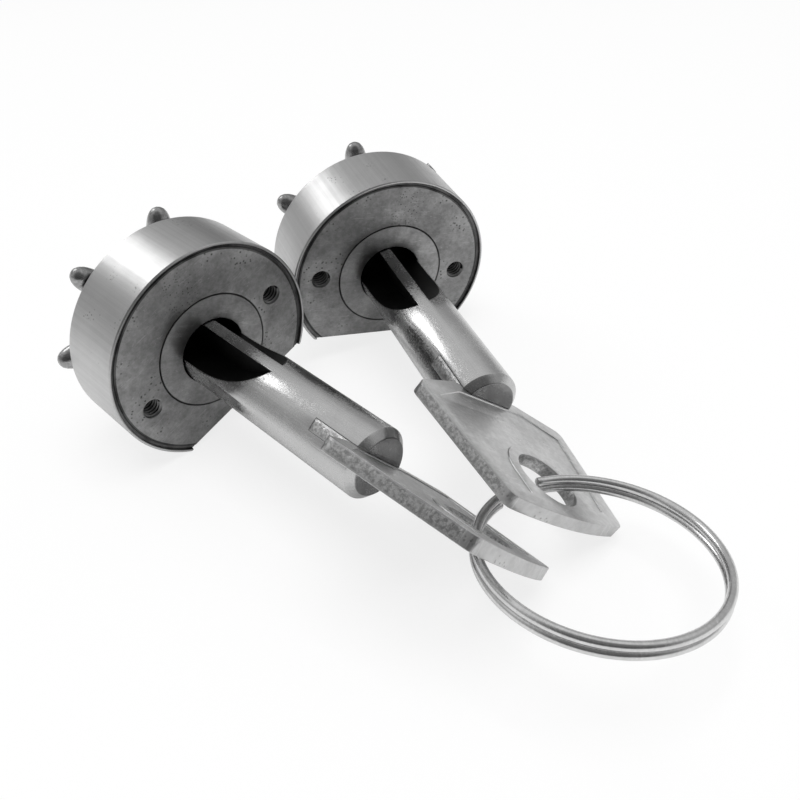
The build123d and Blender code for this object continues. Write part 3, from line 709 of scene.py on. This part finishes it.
# Key shank: turned bar with a long pocket milled on each side of a thin web, from its inner
# end out. It is plated and handled: bright with a fine frosting, with painted shade near black
# in the pockets, and a duller grey on the slotted end that takes the bow.
SHANK_R = 4.22
SHANK_OUT = 29.1
POCKET_END = 12.9
# The pockets' painted shade and the end's grey are full at the first depth under the skin of
# the bar and gone at the second, and past the pockets the painted shade fades over the two lengths
POCKET_SHADE_SKIN = (0.14, 0.06)
SHANK_END_SKIN = (0.12, 0.04)
POCKET_SHADE_ENDS = (0.5, 1.0)
KEY_GREYS = (0.42, 0.62)
KEY_END_GREYS = (0.20, 0.32)
POCKET_SHADE_GREYS = (0.015, 0.025)
KEY_ROUGHNESS = (0.17, 0.42)


def key_steel(lock):
    material, tree, vector = new_finish("key_steel_" + lock, key_place[lock])
    x, y, z = split(tree, vector)
    fine = use(tree, streaks, vector, Around=160.0, Along=30.0)
    frost = use(tree, clouds, vector, Scale=3600.0)
    cloudy = use(tree, clouds, vector, Scale=260.0)
    lines = use(tree, scratches, vector, Scale=160.0, Width=0.012)
    shade = weigh(tree, (fine, 0.5), (frost, 0.2), (cloudy, 0.3))
    colour = mix(tree, shade, *KEY_GREYS)
    outer_end = fade(tree, z, SHANK_OUT - SHANK_END_SKIN[0], SHANK_OUT - SHANK_END_SKIN[1])
    colour = mix(tree, outer_end, colour, mix(tree, cloudy, *KEY_END_GREYS))
    radius = length(tree, across_axis(tree, x, y))
    within = fade(tree, radius, SHANK_R - POCKET_SHADE_SKIN[0], SHANK_R - POCKET_SHADE_SKIN[1], 1.0, 0.0)
    shade_from, shade_to = (POCKET_END + further for further in POCKET_SHADE_ENDS)
    # Painted shade, near black, in the pockets
    pocket_shade = calculate(tree, "MULTIPLY", within, fade(tree, z, shade_from, shade_to, 1.0, 0.0))
    colour = mix(tree, pocket_shade, colour, mix(tree, cloudy, *POCKET_SHADE_GREYS))
    worn = weigh(tree, (frost, 0.5), (cloudy, 0.5))
    rough = calculate(tree, "MAXIMUM", calculate(tree, "MULTIPLY", pocket_shade, 2.0), worn)
    roughness = remap(tree, rough, 0.2, 1.2, *KEY_ROUGHNESS)
    height = calculate(tree, "SUBTRACT", weigh(tree, (frost, 0.3), (fine, 0.2)), lines)
    bare_metal(tree, colour, roughness, height, depth=0.006)
    return material


for lock in "ab":
    add_piece(
        "key_shank_plated_" + lock, softened("key_shank_" + lock, 0.06), "key_" + lock,
        key_steel(lock), ["key_shank_" + lock],
    )


# Key bow: a plate stamped from nickel silver, pressed into the shank's slot. A narrow border
# and an arch round the ring hole stand proud of the bare panel. The long sides are ground and
# rough, the far end is smooth.
BOW_T = 1.5
BOW_EDGE_R = 0.13
FAR_END_AT = 46.4
# Where the ground sides end, below the faces and before the far end
SIDE_SKIN = (0.24, 0.17)
GROUND_ENDS = (1.2, 0.6)
BOW_GREYS = (0.48, 0.60)
BOW_PIT_GREY = 0.2
BOW_SCRATCH_GREY = 0.8
GROUND_GREYS = (0.34, 0.66)
BOW_ROUGHNESS = (0.42, 0.30)


def bow_nickel(lock):
    material, tree, vector = new_finish("bow_nickel_" + lock, bow_place[lock])
    x, y, z = split(tree, vector)
    cloudy = use(tree, clouds, vector, Scale=180.0)
    grain = use(tree, clouds, vector, Scale=1400.0)
    specks = use(tree, pits, vector, Scale=2200.0, Amount=0.45)
    lines = use(tree, scratches, vector, Scale=120.0, Width=0.01)
    shade = weigh(tree, (cloudy, 0.5), (grain, 0.5))
    colour = mix(tree, shade, *BOW_GREYS)
    colour = mix(tree, calculate(tree, "MULTIPLY", specks, 0.6), colour, BOW_PIT_GREY)
    colour = mix(tree, calculate(tree, "MULTIPLY", lines, 0.35), colour, BOW_SCRATCH_GREY)
    off_middle = calculate(tree, "ABSOLUTE", z)
    side = fade(tree, off_middle, BOW_T / 2 - SIDE_SKIN[0], BOW_T / 2 - SIDE_SKIN[1], 1.0, 0.0)
    ground = remap(tree, noise(tree, vector, 2600.0, 3.0, 0.7), 0.35, 0.65)
    ground_from, ground_to = (FAR_END_AT - before for before in GROUND_ENDS)
    along_side = fade(tree, y, ground_from, ground_to, 1.0, 0.0)
    coarse = calculate(tree, "MULTIPLY", calculate(tree, "MULTIPLY", side, ground), along_side)
    rough_side = calculate(tree, "MULTIPLY", side, along_side)
    colour = mix(tree, rough_side, colour, mix(tree, ground, *GROUND_GREYS))
    roughness = remap(tree, shade, 0.0, 1.0, *BOW_ROUGHNESS)
    marks = calculate(tree, "MAXIMUM", specks, lines)
    height = calculate(tree, "SUBTRACT", weigh(tree, (grain, 0.25), (coarse, 1.2)), marks)
    bare_metal(tree, colour, roughness, height, depth=0.02)
    return material


for lock in "ab":
    add_piece(
        "key_bow_stamped_" + lock, softened("key_bow_" + lock, BOW_EDGE_R, sharper_than=35, segments=3),
        "key_" + lock, bow_nickel(lock), ["key_bow_" + lock],
    )


# Split ring: two turns of plated spring wire that lie on each other, through both bows. Where
# the wire steps from one turn to the other, its two ends stop short.
RING_R = 11.67
RING_WIRE_R = 0.475
RING_WIRE_SIDES = 20
RING_END_EDGE = 0.1
RING_STEP = radians(24.0)
RING_STEP_AT = radians(16.0)
RING_LEVEL = 2 * pi - RING_STEP
# The wire's way: the angle it goes round, how far it rises, and in how many steps
RING_WAY = ((RING_LEVEL, 0.0, 120), (RING_STEP, 2 * RING_WIRE_R * MM, 12), (RING_LEVEL, 0.0, 120))
RING_GREYS = (0.56, 0.72)
RING_SCRATCH_GREY = 0.8
RING_ROUGHNESS = (0.26, 0.16)


def ring_steel():
    material, tree, vector = new_finish("ring_steel", ring_place)
    fine = use(tree, streaks, vector, Around=50.0, Along=3000.0)
    cloudy = use(tree, clouds, vector, Scale=350.0)
    lines = use(tree, scratches, vector, Scale=200.0, Width=0.01)
    shade = weigh(tree, (fine, 0.5), (cloudy, 0.5))
    colour = mix(tree, shade, *RING_GREYS)
    colour = mix(tree, calculate(tree, "MULTIPLY", lines, 0.3), colour, RING_SCRATCH_GREY)
    roughness = remap(tree, shade, 0.0, 1.0, *RING_ROUGHNESS)
    bare_metal(tree, colour, roughness, calculate(tree, "SUBTRACT", fine, lines), depth=0.006)
    return material


bm = bmesh.new()
start = Matrix.Rotation(pi / 2, 4, "X")
start = Matrix.Translation((RING_R * MM, 0, -RING_WIRE_R * MM)) @ start
bmesh.ops.create_circle(
    bm, cap_ends=True, radius=RING_WIRE_R * MM, segments=RING_WIRE_SIDES, matrix=start,
)
front = bm.verts[:] + bm.edges[:]
for angle, rise, steps in RING_WAY:
    front = sweep(bm, front, angle, rise, steps)
close_end(bm, front)
round_edges(bm, sharper_than=60, size=RING_END_EDGE, segments=2)
turn_start = Matrix.Rotation(RING_STEP_AT + RING_STEP / 2, 4, "Z")
add_piece(
    "split_ring_wire", bm, "split_ring_body", ring_steel(), ["split_ring"],
    ring_place @ turn_start,
)
